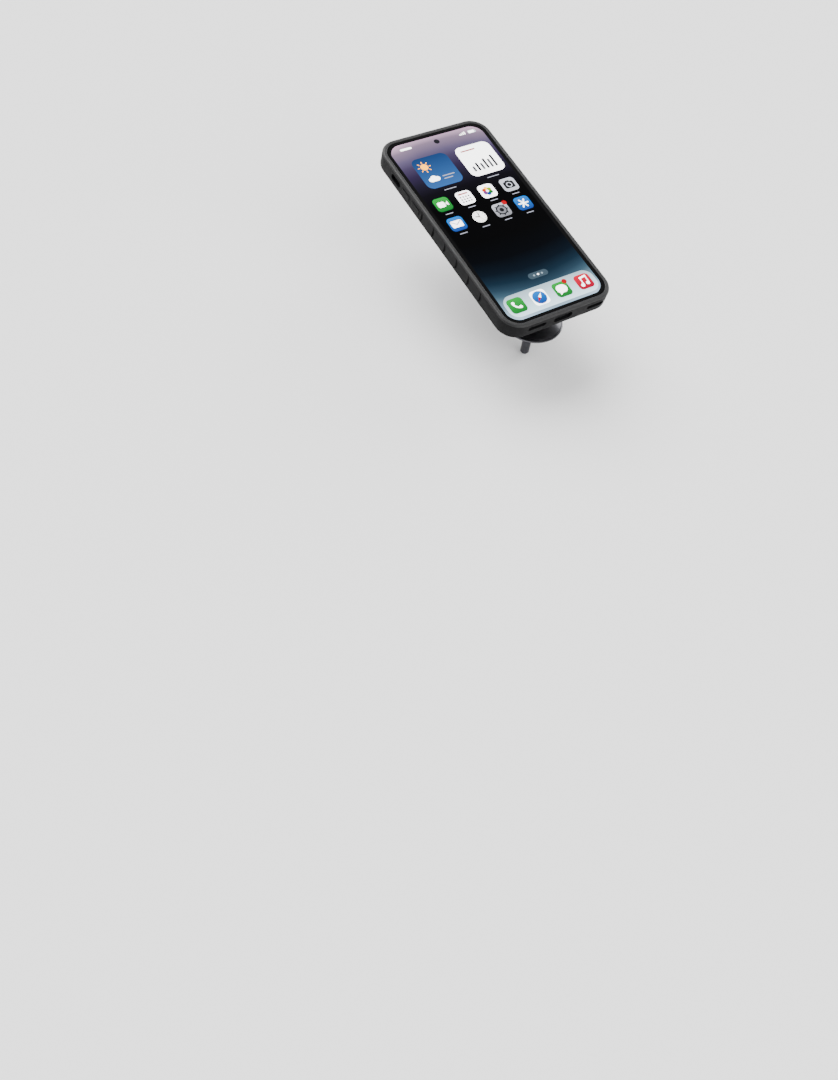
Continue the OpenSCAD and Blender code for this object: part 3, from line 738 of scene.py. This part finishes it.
def build_home_screen():
    pic = Picture()
    # status line
    pic.bar(-27.0, 72.4, -20.0, 72.4, 1.7, WHITE)
    for k in range(4):
        pic.bar(18.4 + 1.3 * k, 71.6, 18.4 + 1.3 * k, 72.0 + 0.5 * k, 0.8, WHITE)
    pic.tile(28.0, 72.4, 6.2, 2.9, 0.8, PALE)
    pic.tile(27.6, 72.4, 4.4, 2.1, 0.5, WHITE, level=1)
    weather_widget(pic)
    chart_widget(pic)
    caption_bar(pic, -13.6, 31.9, 8.5)
    caption_bar(pic, 19.6, 31.6, 8.5)
    for y in (ROW_1, ROW_2):
        for x in COLUMNS:
            caption_bar(pic, x, y - 8.3, 5.0)
    left, mid_l, mid_r, right = COLUMNS

    icon(pic, left, ROW_1, *GREEN)
    pic.tile(left - 1.1, ROW_1, 5.6, 4.8, 1.2, WHITE, level=1)
    pic.shape(1, [(left + 2.1, ROW_1), (left + 4.2, ROW_1 - 2.0), (left + 4.2, ROW_1 + 2.0)],
              WHITE)

    icon(pic, mid_l, ROW_1, WHITE)
    pic.bar(mid_l - 3.4, ROW_1 + 3.8, mid_l + 3.4, ROW_1 + 3.8, 1.2, RED)
    for i in range(4):
        for j in range(3):
            pic.disc(mid_l - 3.3 + 2.2 * i, ROW_1 + 1.0 - 2.2 * j, 0.7, DARK)

    icon(pic, mid_r, ROW_1, WHITE)
    petals = (YELLOW, ORANGE, VIOLET, SKY[1], GREEN[1], LEAF)
    for k, colour in enumerate(petals):
        a = math.radians(90 + 60 * k)
        pic.disc(mid_r + 2.5 * math.cos(a), ROW_1 + 2.5 * math.sin(a), 1.55, colour, 1 + k * 0.1)

    icon(pic, right, ROW_1, PALE, SILVER[0])
    pic.tile(right, ROW_1 - 0.2, 8.2, 6.2, 1.3, DARK, level=1)
    pic.tile(right, ROW_1 + 3.1, 3.4, 1.6, 0.6, DARK, level=1)
    pic.disc(right, ROW_1 - 0.2, 2.3, PALE, 2)
    pic.disc(right, ROW_1 - 0.2, 1.6, DARK, 3)

    icon(pic, left, ROW_2, *SKY)
    pic.tile(left, ROW_2, 8.6, 6.0, 1.0, WHITE, level=1)
    for s in (-1, 1):
        pic.bar(left + s * 3.7, ROW_2 + 2.3, left, ROW_2 - 0.6, 0.6, SKY[1], 2)

    icon(pic, mid_l, ROW_2, BLACK)
    pic.disc(mid_l, ROW_2, 5.1, CLOCK_FACE)
    for k in range(12):
        a = math.radians(30 * k)
        pic.bar(mid_l + 3.9 * math.cos(a), ROW_2 + 3.9 * math.sin(a),
                mid_l + 4.5 * math.cos(a), ROW_2 + 4.5 * math.sin(a), 0.45, DARK, 2)
    pic.bar(mid_l, ROW_2, mid_l - 2.6, ROW_2 + 0.8, 0.9, BLACK, 2)
    pic.bar(mid_l, ROW_2, mid_l + 0.6, ROW_2 + 3.5, 0.75, BLACK, 2)
    pic.bar(mid_l, ROW_2, mid_l + 1.5, ROW_2 - 3.2, 0.35, RED, 3)

    icon(pic, mid_r, ROW_2, *SILVER)
    pic.disc(mid_r, ROW_2, 4.3, DARK)
    pic.disc(mid_r, ROW_2, 3.3, SILVER[1], 2)
    pic.disc(mid_r, ROW_2, 1.7, DARK, 3)
    for k in range(8):
        a = math.radians(45 * k)
        pic.bar(mid_r + 4.2 * math.cos(a), ROW_2 + 4.2 * math.sin(a),
                mid_r + 4.8 * math.cos(a), ROW_2 + 4.8 * math.sin(a), 1.0, DARK)
    badge(pic, mid_r, ROW_2)

    icon(pic, right, ROW_2, *SKY)
    for a in (0, 60, 120):
        c, s = 3.7 * math.cos(math.radians(a)), 3.7 * math.sin(math.radians(a))
        pic.bar(right - c, ROW_2 - s, right + c, ROW_2 + s, 1.0, WHITE, 1 + a / 600)

    # page pill and dock
    pic.scale = 1.0
    pic.tile(0.9, -50.4, 14.6, 4.6, 2.29, PILL)
    for k in (-1, 0, 1):
        pic.disc(0.9 + 3.0 * k, -50.4, 0.7, WHITE if k == 0 else PILL_DOT)
    pic.tile(0.4, -66.6, 67.6, 17.0, 6.6, *DOCK, level=-0.4)

    icon(pic, left, DOCK_Y, *GREEN)
    pic.band(left + 2.6, DOCK_Y + 2.6, 4.9, 1.3, 188, 262, WHITE)
    for a in (184, 266):
        px = left + 2.6 + 4.4 * math.cos(math.radians(a))
        py = DOCK_Y + 2.6 + 4.4 * math.sin(math.radians(a))
        pic.disc(px, py, 1.15, WHITE, 2)

    icon(pic, mid_l, DOCK_Y, WHITE)
    pic.disc(mid_l, DOCK_Y, 5.3, SKY[0], bottom=SKY[1])
    for side, colour in ((1, WHITE), (-1, RED)):
        tip, foot = (mid_l + 2.8 * side, DOCK_Y + 3.2 * side), 0.75 * side
        pic.shape(2, [tip, (mid_l - foot, DOCK_Y + foot), (mid_l + foot, DOCK_Y - foot)], colour)

    icon(pic, mid_r, DOCK_Y, *GREEN)
    pic.tile(mid_r, DOCK_Y + 0.5, 8.4, 6.6, 3.2, WHITE, level=1)
    pic.shape(1, [(mid_r - 2.6, DOCK_Y - 1.6), (mid_r - 0.4, DOCK_Y - 2.6),
                  (mid_r - 3.2, DOCK_Y - 4.2)], WHITE)
    badge(pic, mid_r, DOCK_Y)

    icon(pic, right, DOCK_Y, *ROSE)
    for dx, dy in ((-2.4, -2.6), (2.2, -1.9)):
        pic.disc(right + dx, DOCK_Y + dy, 1.35, WHITE)
        pic.bar(right + dx + 1.0, DOCK_Y + dy, right + dx + 1.0, DOCK_Y + dy + 5.8, 0.75, WHITE)
    pic.bar(right - 1.4, DOCK_Y + 3.4, right + 3.2, DOCK_Y + 4.1, 1.4, WHITE, 2)
    return pic.piece()


def turned(rings, base, x, y, steps=40):
    """Solid of revolution at x, y: (radius, height) rings from the rim in, over a flat base."""
    levels = [(rings[0][0], base)] + rings
    verts, faces = [], [tuple(range(steps))]
    for r, z in levels:
        verts += [(px, py, z) for px, py in circle(x, y, r, steps)]
    for i in range(len(levels) - 1):
        faces += band_faces(i, i + 1, steps)
    faces.append(tuple(range((len(levels) - 1) * steps, len(levels) * steps)))
    return verts, faces


def build_front_camera():
    """Front camera: black ring with a domed lens inside it."""
    rings = [(2.0, 0.02), (1.3, 0.02), (1.15, 0.005), (0.8, 0.03), (0.4, 0.045), (0.05, 0.05)]
    verts, faces = turned(rings, -0.25, 0, FRONT_CAM_Y)
    return new_piece("front_camera", verts, faces, PHONE, LENS, "phone",
                     ["phone_front_camera"], 60)


def build_rear_lenses():
    """Three rear lenses: flat glass rim, stepped black barrel and a domed front element."""
    face = PHONE_BACK - ISLAND_H - 0.8
    profile = [(5.85, 0.0), (5.1, 0.0), (4.9, 0.35), (4.1, 0.4), (3.95, 0.2), (3.7, 0.2),
               (3.5, 0.55), (2.9, 0.35), (2.0, 0.2), (1.0, 0.12), (0.05, 0.1)]
    rings = [(r, face + z) for r, z in profile]
    solids = [turned(rings, PHONE_BACK - ISLAND_H + 0.55, CAM_X + dx, CAM_Y + dy)
              for dx, dy in LENSES]
    verts, faces = joined(solids)
    return new_piece("rear_lenses", verts, faces, PHONE, LENS, "phone",
                     ["phone_camera_lenses"], 40)


# ---- coil springs under the collar --------------------------------------------------------


def build_springs():
    """Two real coils under the collar."""
    wire, coil, low, high, at = 0.3, 1.7, 1.55, 5.1, 13.8
    turns, per_turn = 4.5, 24
    steps = int(turns * per_turn)
    solids = []
    for s in (-1, 1):
        path = []
        for i in range(steps + 1):
            t = i / steps
            # closed end turns, open middle
            rise = min(max((t - 0.17) / 0.66, 0.0), 1.0)
            lift = low + wire + 0.12 * t + (high - low - 2 * wire - 0.12) * rise
            a = 2 * math.pi * turns * t
            path.append((s * at + coil * math.cos(a), coil * math.sin(a), lift))
        solids.append(tube_along(path, [wire] * len(path), 10))
    verts, faces = joined(solids)
    obj = new_piece("collar_coils", verts, faces, SEAT, SPRING, "arm",
                    ["collar_springs"], 60)
    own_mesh(obj)
    return obj


# ---- floor, light and camera ---------------------------------------------------------------

def build_stage():
    low, _ = cad_box
    bpy.ops.mesh.primitive_plane_add(size=8, location=(0, 0, low.z))
    floor = bpy.context.object
    floor.name = "floor"
    n = Nodes("floor_pale")
    n.set(Base_Color=(0.93, 0.93, 0.93, 1), Roughness=0.9)
    floor.data.materials.append(n.material)
    world = bpy.data.worlds.new("studio")
    bpy.context.scene.world = world
    world.use_nodes = True
    world.node_tree.nodes["Background"].inputs["Color"].default_value = (1, 1, 1, 1)
    world.node_tree.nodes["Background"].inputs["Strength"].default_value = 0.55
    # name, direction the light comes from, softness in degrees, strength
    lights = [("key", (-0.1, 0.65, 0.8), 55, 5.2), ("fill", (0.35, -1.0, 0.8), 60, 2.4),
              ("rim", (0.9, 0.2, 0.35), 40, 1.6)]
    for name, source, softness, power in lights:
        data = bpy.data.lights.new(name, "SUN")
        data.angle = math.radians(softness)
        data.energy = power
        lamp = bpy.data.objects.new(name, data)
        lamp.rotation_mode = "QUATERNION"
        lamp.rotation_quaternion = Vector(source).to_track_quat("Z", "Y")
        bpy.context.scene.collection.objects.link(lamp)


def build_camera():
    """Camera to the left, behind and above the phone, square to the photographed view."""
    right = Vector((0.848, -0.501, 0.174))
    down = Vector((-0.379, -0.803, -0.461))
    z = right.cross(-down).normalized()
    x = right.normalized()
    y = z.cross(x)
    m = Matrix((x, y, z)).transposed().to_4x4()
    m.translation = Vector((-353.1, -346.4, 449.7)) * MM
    data = bpy.data.cameras.new("camera")
    data.lens = 33.333
    data.sensor_width = 36
    cam = bpy.data.objects.new("camera", data)
    cam.matrix_world = PHONE @ m
    bpy.context.scene.collection.objects.link(cam)
    bpy.context.scene.camera = cam


# ---- build everything ------------------------------------------------------------------------

def dress_cad_nodes():
    # material, edge round in millimetres, nodes
    looks = [(CAP, 0.3, ["stem_cap"]), (SEAL, 0.15, ["cap_seal_ring"]),
             (DARK_STEEL, 0.12, ["stem_bolt", "stem_bolt_washer"]),
             (STEEL, 0.12, ["pivot_bolt", "pivot_nut"]),
             (STEEL, 0.05, ["head_screws", "socket_screws"]),
             (POLYMER, 0.08, ["friction_washers"]), (ARM, 0.45, ["tilt_arm"]),
             (HEAD_METAL, 0.12, ["twist_head"]), (COLLAR, 0.2, ["release_collar"]),
             (SHELL, 0.15, ["case_shell"]), (LINING, 0.1, ["case_lining"]),
             (SOCKET, 0.2, ["twist_socket"]), (BUMPER, 0.25, ["camera_guard"]),
             (BUTTON, 0.3, ["volume_up_button", "volume_down_button", "side_button"]),
             (RAIL, 0.06, ["phone_body", "phone_touch_pads"]),
             (RAIL, 0.08, ["phone_mute_switch"]), (BACK_GLASS, 0.12, ["phone_back_glass"]),
             (BACK_GLASS, 0.4, ["phone_camera_island"]), (LENS_RING, 0.1, ["phone_camera_rings"]),
             (FLASH, 0.1, ["phone_flash"]), (PORT, 0.05, ["phone_port"])]
    for material, width, nodes in looks:
        for node in nodes:
            dress(node, material, width)


dress_cad_nodes()
build_bumper()
build_glass()
build_wallpaper()
build_home_screen()
build_front_camera()
build_rear_lenses()
build_springs()
build_stage()
build_camera()
